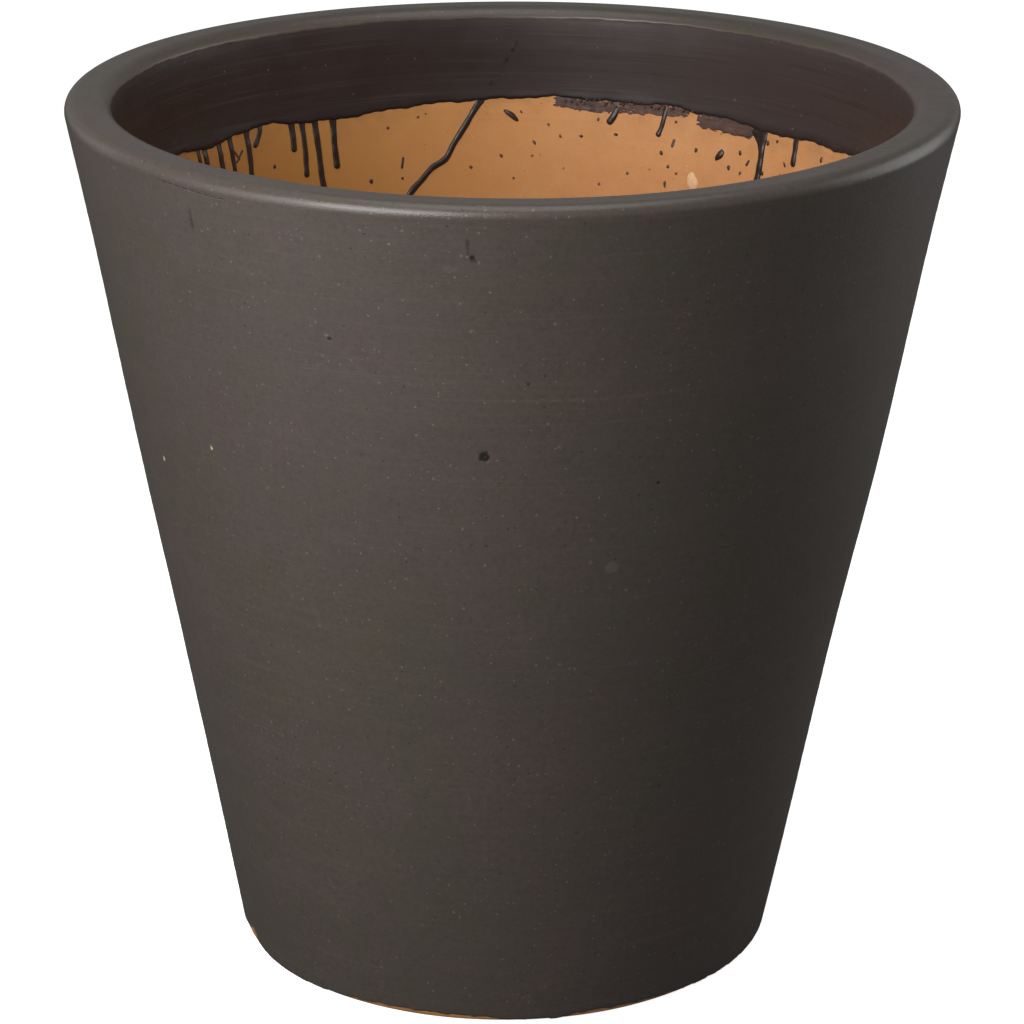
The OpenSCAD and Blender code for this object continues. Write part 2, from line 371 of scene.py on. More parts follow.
# Specks: scattered dots. Share is how many of the places hold a dot, and Size is its radius,
# where the places lie about 1 apart.
specks, given, out = new_group(
    "specks", {"Position": None, "Scale": 300.0, "Size": 0.2, "Share": 0.3}, "Mask")
wobble = add(specks, "TexNoise", {"Vector": given["Position"], "Scale": 900.0})
moved = add(specks, "VectorMath", {0: wobble.outputs["Color"], 1: (0.0012,) * 3, 2: given["Position"]},
            operation="MULTIPLY_ADD")
dots = add(specks, "TexVoronoi", {"Vector": moved.outputs[0], "Scale": given["Scale"]})
chance = add(specks, "SeparateColor", {0: dots.outputs["Color"]})
radius = calc(specks, "MULTIPLY", given["Size"], calc(specks, "ADD", chance.outputs[1], 0.35))
inside_dot = ramp(specks, calc(specks, "DIVIDE", dots.outputs["Distance"], radius), 0.6, 1.0, 1.0, 0.0)
chosen = calc(specks, "LESS_THAN", chance.outputs[0], given["Share"])
specks.links.new(calc(specks, "MULTIPLY", inside_dot, chosen), out["Mask"])

# Mottle: broad soft patches of two sizes, where thin and thick or cooler and hotter parts differ.
mottle, given, out = new_group("mottle", {"Position": None, "Scale": 12.0, "Contrast": 2.0}, "Mask")
broad = cloud(mottle, given["Position"], given["Scale"], 2.0)
finer = cloud(mottle, given["Position"], calc(mottle, "MULTIPLY", given["Scale"], 6.3), 3.0)
both = calc(mottle, "MULTIPLY_ADD", finer, 0.45, calc(mottle, "MULTIPLY", broad, 0.55))
centred = calc(mottle, "SUBTRACT", both, 0.5)
contrasted = add(mottle, "Math", {0: centred, 1: given["Contrast"], 2: 0.5},
                 operation="MULTIPLY_ADD", use_clamp=True)
mottle.links.new(contrasted.outputs[0], out["Mask"])

# Grain: the fine uneven skin of fired clay or of a matt glaze.
grain, given, out = new_group("grain", {"Position": None, "Scale": 1500.0}, "Height")
coarse = cloud(grain, given["Position"], given["Scale"], 4.0, 0.7)
cells = add(grain, "TexVoronoi", {"Vector": given["Position"], "Scale": given["Scale"]}).outputs["Distance"]
both = calc(grain, "MULTIPLY_ADD", cells, 0.5, calc(grain, "MULTIPLY", coarse, 0.6))
grain.links.new(both, out["Height"])

CLAY_PALE = (0.700, 0.345, 0.140)
CLAY_WARM = (0.600, 0.265, 0.088)
CLAY_STAIN = (0.290, 0.135, 0.055)
CLAY_LIME = (0.720, 0.480, 0.270)
CLAY_DARK_GRIT = (0.120, 0.060, 0.034)
# Painted shade colour for the side of the inside that faces away from the key light
CLAY_PAINTED_SHADE = (0.460, 0.210, 0.047)

bare_clay, tree, shader = new_material("fired orange clay")
position = object_position(tree)
lines = place(tree, wheel_lines, position=position, lines=520.0, waver=5.0)
colour = tint(tree, place(tree, mottle, position=position, scale=11.0, contrast=2.6), CLAY_WARM, CLAY_PALE)
colour = tint(tree, ramp(tree, lines, 0.55, 0.8, 0.0, 0.35), colour, CLAY_WARM)
colour = tint(tree, ramp(tree, cloud(tree, position, 700.0, 3.0), 0.45, 0.75, 0.0, 0.14), colour, CLAY_LIME)
grit = place(tree, specks, position=position, scale=260.0, size=0.16, share=0.16)
colour = over(tree, colour, CLAY_DARK_GRIT, grit, 0.75)
lime = place(tree, specks, position=position, scale=330.0, size=0.15, share=0.12)
colour = over(tree, colour, CLAY_LIME, lime, 0.6)
# Painted shade on the left side of the inside
colour = tint(tree, mask(tree, "flash"), colour, CLAY_PAINTED_SHADE)
wash = calc(tree, "MULTIPLY", mask(tree, "wash"), ramp(tree, cloud(tree, position, 60.0, 4.0), 0.3, 0.7))
colour = tint(tree, wash, colour, CLAY_STAIN)
relief = calc(tree, "MULTIPLY_ADD", lines, 0.5,
              calc(tree, "MULTIPLY", place(tree, grain, position=position, scale=900.0), 0.5))
roughness = ramp(tree, cloud(tree, position, 200.0), 0.3, 0.7, 0.72, 0.9)
connect(tree, shader, colour, roughness, relief, 0.16)

CLAY_COLUMNS = 336
WASH_REACH = 9 * MM
# Spacing of the rows of points: the outside and the lip lie under glaze, so their rows are coarse
ROW_GAPS = {"foot": 0.6, "outside": 12, "lip": 1.5, "lip_inside": 1.5, "inside": 3, "fillet": 2,
            "floor": 3, "drain": 1, "under": 5, "ring": 1.2}
order = list(starts)
clay_s = np.concatenate([
    np.arange(starts[stretch], starts[order[order.index(stretch) + 1]] - 0.3 * MM, gap * MM)
    for stretch, gap in ROW_GAPS.items()
])[:, None]
clay_angle = round_the_pot(CLAY_COLUMNS)
below_band = clay_s - at_depth(band_edge(clay_angle))
clay_wash = 0.55 * np.exp(-np.clip(below_band, 0, None) / WASH_REACH) * (below_band < 8 * WASH_REACH)
# Painted shade: the inside is painted darker and deeper orange on its left side, which is turned away from
# the key light.
flash = np.clip(0.35 - 1.1 * np.sin(clay_angle), 0, 1) + 0 * clay_s
add_piece("clay_body", on_clay(clay_s, clay_angle), ring_faces(len(clay_s), CLAY_COLUMNS), "clay_body",
          "bare_clay", bare_clay, wash=clay_wash, flash=flash)

# ---------------------------------------------------------------------------------------------
# Outer glaze: a matt charcoal coat, poured over the outside and the lip and fired on. It stops in
# a ragged line just above the foot and in a scalloped line just inside the lip, and it carries
# the kiln's marks: a crater, pin holes, chips down to the clay and a blister.
# ---------------------------------------------------------------------------------------------
COAT = 0.8 * MM
COAT_COLUMNS = 400
# How far the hidden side of a coat lies inside the clay, and how far its thin edges sink in
COAT_SUNK = 0.3 * MM
EDGE_SUNK = 0.15 * MM
# How far short of the lip's inner edge the coat ends
COAT_SHORT = 1.2 * MM
COAT_STARTS = 2.1 * MM
COAT_EDGE_ROUND = 1.3 * MM
COAT_RIPPLE = 0.05 * MM
# Where the coat starts: (degrees to the right of the front, millimetres up the foot's outline)
FOOT_LINE = [
    (-180, 2.6), (-120, 1.8), (-84, 2.4), (-72, 5.6), (-64, 1.9), (-42, 1.9), (-33, 3.1), (-12, 3.9),
    (-3, 3.2), (1, 2.0), (6, 2.4), (10, 1.7), (14, 3.3), (24, 3.5), (34, 3.1), (44, 2.2), (90, 2.1),
    (135, 3.0), (180, 2.6),
]
# Kiln marks: degrees to the right of the front, height, width, tall, dip, and what shows, in mm
KILN_MARKS = [
    (-3.2, 287.4, 4.6, 5.0, 0.35, "pit"), (-3.0, 287.1, 1.5, 1.3, -0.15, "pale"),
    (2.4, 321.7, 1.7, 1.9, 0.2, "pit"), (20.6, 271.8, 1.5, 1.5, 0.2, "pit"),
    (-4.3, 379.3, 2.2, 2.6, 0.15, "pit"), (-4.8, 384.5, 1.4, 9.0, 0.02, "faint"),
    (-23.0, 337.2, 2.2, 1.8, 0.15, "pit"), (-42.0, 381.0, 1.8, 11.0, 0.02, "faint"),
    (5.5, 349.3, 1.6, 1.4, 0.1, "pale"), (-4.7, 345.8, 1.3, 1.3, 0.1, "pale"),
    (-23.4, 338.9, 1.8, 1.2, 0.1, "pale"), (-7.1, 374.0, 7.0, 3.5, 0.05, "rose"),
    (-46.3, 272.0, 1.6, 1.7, 0.2, "lime"), (-61.4, 254.1, 2.2, 2.4, 0.2, "lime"),
    (-57.4, 393.2, 2.4, 1.8, 0.3, "rose"), (-70.0, 5.0, 8.0, 6.0, 0.4, "bare"),
    (14.9, 232.9, 6.0, 6.0, -0.15, "blister"), (112.0, 301.0, 3.2, 3.6, 0.3, "pit"),
    (150.0, 188.0, 2.4, 2.4, 0.3, "pit"), (-128.0, 342.0, 2.6, 2.0, 0.35, "bare"),
    (-160.0, 96.0, 3.4, 2.6, 0.3, "pit"), (171.0, 262.0, 5.0, 5.0, -0.15, "blister"),
]
# A hairline under the lip: (degrees to the right of the front, height)
HAIRLINE = [(-48, 395.7), (-44, 395.2), (-40, 394.4), (-35.6, 393.8)]
HAIRLINE_WIDTH = 0.9 * MM
HAIRLINE_DIP = 0.25 * MM

coat_end_s = starts["inside"] - COAT_SHORT
outer = along < starts["lip_inside"]


def at_height(height):
    """Place along the outline of the outer wall's point at this height."""
    return np.interp(height, outline[outer][:, 1], along[outer])


def coat_end(angle):
    """Place along the outline of the coat's scalloped edge inside the lip."""
    scallops = 0.9 * np.sin(9 * angle + 1.3) + 0.6 * np.sin(23 * angle) + 0.4 * np.sin(41 * angle + 2)
    return coat_end_s + (0.25 * scallops + 0.15 * np.sin(97 * angle)) * MM


def coat_start(angle):
    """Place along the outline of the coat's ragged edge at the foot."""
    degrees = 180 - np.degrees(angle)
    ragged = 0.25 * np.sin(61 * angle) + 0.18 * np.sin(113 * angle + 1) + 0.12 * np.sin(197 * angle + 2)
    return np.clip(smooth(FOOT_LINE, degrees) + ragged, 0.5, None) * MM


edge_steps = np.array([0, 0.08, 0.2, 0.4, 0.7, 1.1, 1.6, 2.4, 3.4, 4.6]) * MM
lip_s = starts["lip"] - 4 * MM
front_rows = np.concatenate([
    COAT_STARTS + edge_steps,
    np.arange(COAT_STARTS + 7.5 * MM, lip_s, 3 * MM),
    np.arange(lip_s, coat_end_s - 5 * MM, 0.9 * MM),
    (coat_end_s - edge_steps)[::-1],
])
back_rows = np.arange(coat_end_s - 2 * MM, COAT_STARTS, -16 * MM)
grid_s = np.concatenate([front_rows, back_rows])[:, None]
grid_angle = round_the_pot(COAT_COLUMNS)
is_front = (np.arange(len(grid_s)) < len(front_rows))[:, None]

coat = bmesh.new()
coat_mesh = bpy.data.meshes.new("coat grid")
flat = np.stack(np.broadcast_arrays(grid_s, grid_angle, is_front), -1).reshape(-1, 3)
coat_mesh.from_pydata(flat.tolist(), [], ring_faces(len(grid_s), COAT_COLUMNS))
coat.from_mesh(coat_mesh)


def beside_hairline(angle):
    """Degrees to the right of the front, and the hairline's place along the outline there."""
    right = 180 - np.degrees(angle)
    return right, at_height(np.interp(right, *np.array(HAIRLINE).T) * MM)


def near_marks(vertices):
    """The edges that join points close to a kiln mark, where the mesh has to be finer."""
    s, angle, front = np.array([v.co for v in vertices]).T
    r = np.interp(s, along, outline[:, 0])
    close = np.zeros(len(s), bool)
    for right, height, width, tall, dip, shows in KILN_MARKS:
        across = (angle - math.radians(180 - right)) * r / (width * 0.5 * MM + 1.2 * MM)
        close |= np.hypot(across, (s - at_height(height * MM)) / (tall * 0.5 * MM + 1.2 * MM)) < 1
    right, hair_s = beside_hairline(angle)
    beside = (right > HAIRLINE[0][0] - 0.5) & (right < HAIRLINE[-1][0] + 0.5)
    close |= beside & (np.abs(s - hair_s) < 1.4 * MM)
    return close & (front > 0.5)


for _ in range(3):
    coat.verts.ensure_lookup_table()
    close = near_marks(coat.verts)
    edges = [edge for edge in coat.edges if close[edge.verts[0].index] or close[edge.verts[1].index]]
    bmesh.ops.subdivide_edges(coat, edges=edges, cuts=1, use_grid_fill=True)
    coat.verts.index_update()
bmesh.ops.triangulate(coat, faces=[face for face in coat.faces if len(face.verts) > 4])
s, angle, front = np.array([v.co for v in coat.verts]).T
coat_faces = [[v.index for v in face.verts] for face in coat.faces]
coat.free()
bpy.data.meshes.remove(coat_mesh)

# The coat's rows bend to its ragged ends, and its skin rolls over to the clay there.
s = s + (coat_start(angle) - COAT_STARTS) * np.exp(-np.abs(s - COAT_STARTS) / (7 * MM))
s = s + (coat_end(angle) - coat_end_s) * np.exp(-np.abs(s - coat_end_s) / (5 * MM))
edge = np.clip(np.minimum(s - coat_start(angle), coat_end(angle) - s) / COAT_EDGE_ROUND, 0, 1)
lift = (COAT + EDGE_SUNK) * np.sqrt(1 - (1 - edge) ** 2) - EDGE_SUNK
r = np.interp(s, along, outline[:, 0])
lift = lift + COAT_RIPPLE * np.sin(140 * s + 3 * angle) * np.sin(7 * angle + 90 * s) * edge
masks = {shows: np.zeros(len(s)) for shows in ("pit", "faint", "rose", "pale", "lime", "blister", "bare")}
for right, height, width, tall, dip, shows in KILN_MARKS:
    across = (angle - math.radians(180 - right)) * r / (width * 0.5 * MM)
    up = (s - at_height(height * MM)) / (tall * 0.5 * MM)
    turn = np.arctan2(up, across)
    reach = np.hypot(across, up) / (1 + 0.05 * np.sin(3 * turn + right) + 0.04 * np.sin(5 * turn + height))
    inside_mark = np.clip((1.2 - reach) / 0.5, 0, 1) * (front > 0.5)
    lift = lift - dip * MM * inside_mark * inside_mark * (3 - 2 * inside_mark)
    masks[shows] = np.maximum(masks[shows], inside_mark)
right, hair_s = beside_hairline(angle)
hair = np.clip(1 - np.abs(s - hair_s) / (HAIRLINE_WIDTH / 2), 0, 1) * (front > 0.5)
hair = hair * (right > HAIRLINE[0][0]) * (right < HAIRLINE[-1][0])
hair = hair * np.clip(0.6 + np.sin(300 * angle), 0.1, 1)
lift = lift - HAIRLINE_DIP * hair
masks["pit"] = np.maximum(masks["pit"], hair)
# Where the coat is thin, at its ends and over the lip's inner edge, it fires paler and pinker.
thin = np.clip(1 - (coat_end_s - s) / (3.5 * MM), 0, 1) * (front > 0.5)
# Hands and the kiln's stacking have rubbed the lip smoother than the wall.
rubbed = np.clip((s - starts["lip"] + 2 * MM) / (3 * MM), 0, 1) * (front > 0.5)
lift = np.where(front > 0.5, lift, -COAT_SUNK)

COAT_OLIVE = (0.068, 0.058, 0.043)
COAT_PLUM = (0.075, 0.056, 0.056)
COAT_WARM = (0.094, 0.071, 0.046)
COAT_PALE = (0.190, 0.165, 0.140)
COAT_BROKEN = (0.038, 0.032, 0.027)
COAT_PIT = (0.005, 0.0045, 0.004)
COAT_ROSE = (0.130, 0.085, 0.088)
COAT_THIN = (0.120, 0.094, 0.078)
# What shows under each mask, and how strongly
MASK_PAINTS = [
    ("thin", COAT_THIN, 0.55), ("pale", COAT_PALE, 0.45), ("rose", COAT_ROSE, 0.35),
    ("faint", COAT_PIT, 0.45), ("pit", COAT_PIT, 0.92), ("blister", COAT_PALE, 0.18),
    ("lime", CLAY_LIME, 0.8),
]

charcoal, tree, shader = new_material("charcoal glaze")
position = object_position(tree)
lines = place(tree, wheel_lines, position=position, lines=700.0, waver=7.0)
skin = place(tree, grain, position=position, scale=1300.0)
colour = tint(tree, place(tree, mottle, position=position, scale=6.5, contrast=3.6), COAT_OLIVE, COAT_PLUM)
warm = place(tree, mottle, position=position, scale=13.0, contrast=3.0)
colour = over(tree, colour, COAT_WARM, warm, 0.30)
broken = ramp(tree, cloud(tree, position, 420.0, 4.0, 0.7), 0.35, 0.75, 0.0, 0.42)
colour = tint(tree, broken, colour, COAT_BROKEN)
colour = tint(tree, ramp(tree, lines, 0.50, 0.90, 0.0, 0.12), colour, COAT_PALE)
pin = place(tree, specks, position=position, scale=420.0, size=0.21, share=0.26)
colour = over(tree, colour, COAT_PALE, pin, 0.5)
dark_pin = place(tree, specks, position=position, scale=330.0, size=0.18, share=0.14)
colour = over(tree, colour, COAT_PIT, dark_pin, 0.5)
rare = place(tree, specks, position=position, scale=90.0, size=0.085, share=0.16)
colour = over(tree, colour, COAT_THIN, rare, 0.75)
for shows, paint, strength in MASK_PAINTS:
    colour = over(tree, colour, paint, mask(tree, shows), strength)
colour = tint(tree, mask(tree, "bare"), colour, CLAY_WARM)
relief = calc(tree, "MULTIPLY_ADD", lines, 0.12, calc(tree, "MULTIPLY", skin, 0.85))
relief = calc(tree, "SUBTRACT", relief, calc(tree, "MULTIPLY", dark_pin, 0.4))
uneven = place(tree, mottle, position=position, scale=30.0, contrast=2.0)
roughness = ramp(tree, uneven, 0.0, 1.0, 0.44, 0.54)
roughness = calc(tree, "SUBTRACT", roughness, calc(tree, "MULTIPLY", mask(tree, "rubbed"), 0.17))
connect(tree, shader, colour, roughness, relief, 0.10)
coat_points = on_clay(s, angle, lift)
coat_points[:, 2] = np.maximum(coat_points[:, 2], 0)
add_piece("outer_glaze", coat_points, coat_faces, "outer_glaze", "charcoal_glaze", charcoal, thin=thin,
          rubbed=rubbed, **masks)

# ---------------------------------------------------------------------------------------------
# Inner glaze band: a thinner brown coat, brushed on round the top of the inner wall while the pot
# turned. Its upper edge goes under the outer coat, and its lower edge is wavy and pulled into drips.
# ---------------------------------------------------------------------------------------------
BAND_COLUMNS = 1080
BAND_COAT = 0.55 * MM
BAND_TUCK = 5 * MM
BAND_SUNK = 0.2 * MM
BAND_EDGE_ROUND = 1.4 * MM
# The brush's ridges, and the fuller bead of glaze that gathered along the lower edge
BRUSH_PITCH = 3.1 * MM
BRUSH_DEPTH = 0.05 * MM
EDGE_BEAD = 0.16 * MM

band_angle = round_the_pot(BAND_COLUMNS)
band_top = coat_end_s - BAND_TUCK
band_low = at_depth(band_edge(band_angle))
near_edge = np.array([0.075, 0.05, 0.03, 0.018, 0.009, 0.003, 0])
u = np.concatenate([np.linspace(0, 0.9, 16), 1 - near_edge])[:, None]
s = band_top + (band_low - band_top) * u
rim = np.clip((band_low - s) / BAND_EDGE_ROUND, 0, 1)
brushed = np.sin(2 * math.pi * s / BRUSH_PITCH + 2 * np.sin(2 * band_angle))
brushed = brushed * np.sin(5 * band_angle + 210 * s)
bead_at_edge = np.exp(-((band_low - s) / (1.6 * MM) - 0.8) ** 2)
lift = (BAND_COAT + BAND_SUNK) * np.sqrt(1 - (1 - rim) ** 2) - BAND_SUNK
lift = lift + (BRUSH_DEPTH * brushed + EDGE_BEAD * bead_at_edge) * rim
back_s = band_low + (band_top - band_low) * np.array([0.02, 0.5, 1.0])[:, None]
s = np.concatenate([s, back_s])
lift = np.concatenate([lift, np.full(back_s.shape, -COAT_SUNK)])
pooled = np.clip(1 - np.abs(band_low - s) / (5 * MM), 0, 1)
# Painted light: the band is painted lighter on its right side, which faces the key light.
worn = np.clip(np.sin(band_angle) * 1.3, 0, 1) + 0 * s

BAND_BROWN = (0.023, 0.0155, 0.013)
BAND_PLUM = (0.038, 0.0265, 0.0265)
# Lighter brown, both for the brush's thin streaks and for the painted light on the band's right side
BAND_STREAK_AND_LIT = (0.066, 0.048, 0.044)
BAND_POOL = (0.007, 0.005, 0.005)
BAND_PIN = (0.220, 0.170, 0.140)

brown, tree, shader = new_material("brushed brown glaze")
position = object_position(tree)
brush = place(tree, wheel_lines, position=position, lines=620.0, waver=11.0)
hair_lines = place(tree, wheel_lines, position=position, lines=2100.0, waver=16.0)
colour = tint(tree, place(tree, mottle, position=position, scale=10.0, contrast=2.6), BAND_BROWN, BAND_PLUM)
# Painted light: the band's right side, which faces the key light, is painted lighter
colour = over(tree, colour, BAND_STREAK_AND_LIT, mask(tree, "worn"), 0.6)
colour = tint(tree, ramp(tree, brush, 0.50, 0.80, 0.0, 0.6), colour, BAND_STREAK_AND_LIT)
colour = tint(tree, ramp(tree, hair_lines, 0.50, 0.75, 0.0, 0.35), colour, BAND_POOL)
colour = over(tree, colour, BAND_POOL, mask(tree, "pooled"), 0.75)
pale_pin = place(tree, specks, position=position, scale=300.0, size=0.14, share=0.12)
colour = over(tree, colour, BAND_PIN, pale_pin, 0.6)
relief = calc(tree, "MULTIPLY_ADD", brush, 0.35, calc(tree, "MULTIPLY", hair_lines, 0.25))
relief = calc(tree, "MULTIPLY_ADD", place(tree, grain, position=position, scale=1100.0), 0.2, relief)
uneven = place(tree, mottle, position=position, scale=45.0, contrast=2.0)
roughness = ramp(tree, uneven, 0.0, 1.0, 0.44, 0.60)
shader.inputs["Specular IOR Level"].default_value = 0.3
connect(tree, shader, colour, roughness, relief, 0.12)
add_piece("inner_glaze_band", on_clay(s, band_angle, lift), ring_faces(len(s), BAND_COLUMNS),
          "inner_glaze_band", "brown_glaze", brown, pooled=pooled, worn=worn)

# ---------------------------------------------------------------------------------------------
# Glaze runs: drips of the band's wet glaze that ran down the bare clay and set as glossy, nearly
# black beads. Each leaves the band in a small funnel and ends in a fuller drop.
# ---------------------------------------------------------------------------------------------
RUN_WIDTH = 3.1 * MM
# How far above the band's edge a run starts, in millimetres
RUN_TUCK = 1.5
BEAD_SIDES = 14
# How far beads and drops sink into what they lie on
BEAD_SUNK = 0.25 * MM
# Runs: degrees from the far side, depth of the end, sideways drift in degrees, width
RUNS = [
    (-58.4, 68, 0, 0.8), (-56.8, 73, 0.1, 1), (-53.2, 78, -0.1, 1), (-50.6, 83, 0.2, 0.9),
    (-46.8, 90, -0.6, 1), (-43.9, 57, -1.8, 0.8), (-37.7, 63, 0, 1), (-35.6, 76, -0.2, 0.9),
    (-33.2, 94, 0.7, 1), (-30, 74, 0, 1), (17.7, 56, -1.5, 1.0), (25.9, 60, -1.2, 0.8),
    (44.6, 88, -0.4, 1.15), (51.5, 63, 0.2, 1), (84, 65, 0.3, 1), (88, 81, 0.5, 1), (112, 72, 0, 1),
    (131, 59, -0.3, 0.9), (134, 86, -0.7, 1.1), (158, 69, 0, 0.9), (176, 77, 0.3, 1), (-171, 61, 0, 1),
    (-149, 83, 0.7, 1.1), (-145, 66, 0, 0.8), (-118, 74, -0.3, 1), (-92, 62, 0, 0.9)
]
# The long slanting run, and the thin trail above it on the band: (degrees, depth)
LONG_RUN = [(-4.6, 44.5), (-7, 56), (-9.3, 66), (-10.8, 73.7), (-13.3, 78), (-15.1, 83.4), (-17.1, 89.4),
            (-19, 100)]
LONG_RUN_TRAIL = [(1.2, 15), (0.5, 20), (-1.8, 31), (-4.4, 44)]
# The web of glaze that narrows from the band to the widest run on the right
WIDE_FUNNEL = [(43.2, 47.5), (44, 52), (44.6, 60)]
FUNNEL_WIDTH = 7.5 * MM
TRAIL_WIDTH = 2.2 * MM


def bead(path, width, rise=0.26, swell=0.18, funnel=0.0, ground=0.0):
    """A rounded bead of glaze along a path of (degrees, depth in mm) points.

    rise is its height as a share of its width, swell is how much fuller its end is, funnel how
    much wider its start is, and ground the thickness of the coat that it lies on.
    """
    degrees, depth = np.array(path, float).T
    path_s = at_depth(depth * MM)
    r = np.interp(path_s, along, outline[:, 0])
    side = np.radians(degrees) * r
    travelled = np.concatenate([[0], np.cumsum(np.hypot(np.diff(path_s), np.diff(side)))])
    length = travelled[-1]
    steps = 14 + int(length / (0.9 * MM))
    t = length / 2 * (1 - np.cos(math.pi * np.linspace(0, 1, steps + 2)[1:-1]))
    s = smooth(np.stack([travelled, path_s], 1), t)
    angle = smooth(np.stack([travelled, np.radians(degrees)], 1), t)
    angle = angle + 0.15 * MM / r.mean() * np.sin(t * 260 + degrees[0] * 5)
    to_end = length - t
    half = width / 2 * (1 + 0.05 * np.sin(t * 330 + degrees[0]) + 0.03 * np.sin(t * 900 + 2 * depth[0]))
    half = half * (1 + swell * np.exp(-(to_end / width / 1.3) ** 2) + funnel * np.exp(-t / (0.9 * width)))
    cap = width / 2 * (1 + swell)
    for to_cap in (t, to_end):
        half = half * np.sqrt(1 - (1 - np.clip(to_cap / cap, 0, 1)) ** 2)
    tall = 2 * rise * half * np.clip(t / (2.5 * width), 0.2, 1)
    forward_s, forward_side = np.gradient(s), np.gradient(angle) * r.mean()
    size = np.hypot(forward_s, forward_side)
    around = np.linspace(0, 2 * math.pi, BEAD_SIDES, endpoint=False)[None]
    across = -np.cos(around) * half[:, None]
    up = np.sin(around) * np.where(np.sin(around) > 0, tall[:, None], BEAD_SUNK)
    points = on_clay(
        s[:, None] - across * (forward_side / size)[:, None],
        angle[:, None] + across * (forward_s / size)[:, None] / r.mean(),
        up + ground,
    )
    i = np.arange(steps - 1)[:, None] * BEAD_SIDES
    next_i = i + BEAD_SIDES
    j = np.arange(BEAD_SIDES)[None]
    next_j = (j + 1) % BEAD_SIDES
    faces = np.stack([i + j, next_i + j, next_i + next_j, i + next_j], -1).reshape(-1, 4).tolist()
    first_end = list(range(BEAD_SIDES))
    last_end = [BEAD_SIDES * (steps - 1) + side for side in reversed(first_end)]
    return points.reshape(-1, 3), faces + [first_end, last_end]


def join(parts):
    """Joins (points, faces) parts into one."""
    points, faces = [], []
    for part_points, part_faces in parts:
        faces += [[index + len(points) for index in face] for face in part_faces]
        points += part_points.tolist()
    return points, faces


def on_each(parts, values):
    """Gives all the points of each part its own value."""
    return np.concatenate([np.full(len(points), value) for (points, faces), value in zip(parts, values)])


RUN_BLACK = (0.010, 0.0075, 0.008)
RUN_BROWN = (0.034, 0.018, 0.013)
RUN_THIN = (0.130, 0.050, 0.028)

run_glaze, tree, shader = new_material("glossy run glaze")
position = object_position(tree)
colour = tint(tree, place(tree, mottle, position=position, scale=70.0, contrast=2.5), RUN_BLACK, RUN_BROWN)
dust = place(tree, specks, position=position, scale=700.0, size=0.16, share=0.15)
colour = over(tree, colour, CLAY_STAIN, dust, 0.5)
colour = tint(tree, mask(tree, "thin"), colour, RUN_THIN)
skin = place(tree, grain, position=position, scale=500.0)
roughness = ramp(tree, cloud(tree, position, 300.0), 0.3, 0.7, 0.28, 0.46)
connect(tree, shader, colour, roughness, skin, 0.06)

runs = []
for degrees, depth, drift, width in RUNS:
    start = float(band_edge(np.radians(degrees))) / MM - RUN_TUCK
    path = [(degrees + drift * k * k / 9, start + (depth - start) * k / 3) for k in range(4)]
    runs.append(bead(path, RUN_WIDTH * width, funnel=0.5))
runs.append(bead(LONG_RUN, RUN_WIDTH, funnel=0.6))
runs.append(bead(WIDE_FUNNEL, FUNNEL_WIDTH, rise=0.09, swell=-0.6, funnel=0.8))
runs.append(bead(LONG_RUN_TRAIL, TRAIL_WIDTH, rise=0.02, ground=BAND_COAT - 0.03 * MM))
add_piece("glaze_runs", *join(runs), "glaze_runs", "run_glaze", run_glaze,
          thin=on_each(runs, [0] * len(runs)))

# ---------------------------------------------------------------------------------------------
# Glaze spatter: drops and ticks that flicked off the brush onto the bare clay and were fired on.
# ---------------------------------------------------------------------------------------------
# Drops: degrees from the far side, depth, width, length and slant in degrees
DROPS = [
    (-42, 68, 2, 2, 0), (-24, 82, 2.2, 2.2, 0), (-20.4, 57, 1.5, 1.8, 0), (-18.4, 82, 1.5, 1.6, 0),
    (-15.2, 52.8, 1.5, 1.4, 0), (-13.9, 51.4, 1, 1, 0), (-6.6, 78.2, 1.7, 2, 20),
    (-1.5, 72.8, 1.4, 2.6, 35), (0.2, 53.1, 2.9, 9.0, 49), (0.6, 83.8, 1.4, 1.4, 0),
    (1.8, 51.4, 1.2, 1.7, 30), (3.7, 72.7, 1.3, 1.3, 0), (4, 66.2, 1.3, 3, 40), (6.3, 57.4, 1.5, 1.7, 0),
    (8.3, 62.9, 1.5, 1.8, 30), (11.8, 62.5, 1.8, 1.5, 0), (14.5, 53.9, 1.4, 1.9, 0),
    (15.2, 85.3, 1.5, 1.5, 0), (17.6, 60.7, 1.9, 1.6, 0), (20, 79, 1.6, 1.6, 0),
    (25.7, 67.6, 1.8, 2.2, 10), (26.8, 82.4, 1.7, 3.4, 5), (27.1, 73.8, 1.7, 2, 0),
    (27.8, 51.9, 1.6, 1.4, 0), (28.7, 76.7, 1.5, 1.6, 0), (31.9, 64.2, 1.8, 2.3, -15),
    (36.4, 64.8, 3.2, 7.4, -38), (38.4, 70, 1.9, 2.4, 0), (40.3, 62.1, 1.8, 2.4, 20),
    (40.8, 71.6, 1.7, 1.9, 0), (45.6, 54.8, 2, 2.4, 0), (45.3, 69.5, 1.9, 2.2, 0),
    (47.5, 53, 1.6, 1.9, 0), (48, 72, 2, 2.4, 0), (58.1, 55.8, 2, 2.6, 0), (57, 78, 2, 2, 0),
    (78, 70, 2, 2.4, 0), (95, 60, 1.6, 1.6, 0), (99, 78, 2, 2.4, 15), (106, 64, 1.8, 1.8, 0),
    (120, 82, 2, 2, 0), (127, 67, 2.2, 3, -10), (143, 61, 1.6, 1.6, 0), (151, 75, 2, 2, 0),
    (167, 84, 1.8, 1.8, 0), (-179, 66, 2.2, 2.8, 0), (-164, 73, 1.6, 1.6, 0), (-157, 58, 2, 2, 0),
    (-138, 79, 2.4, 2.8, 20), (-130, 63, 1.8, 1.8, 0), (-108, 68, 2, 2, 0), (-101, 84, 1.6, 1.6, 0),
    (-79, 72, 2.2, 2.6, 0), (-70, 61, 1.8, 1.8, 0)
]
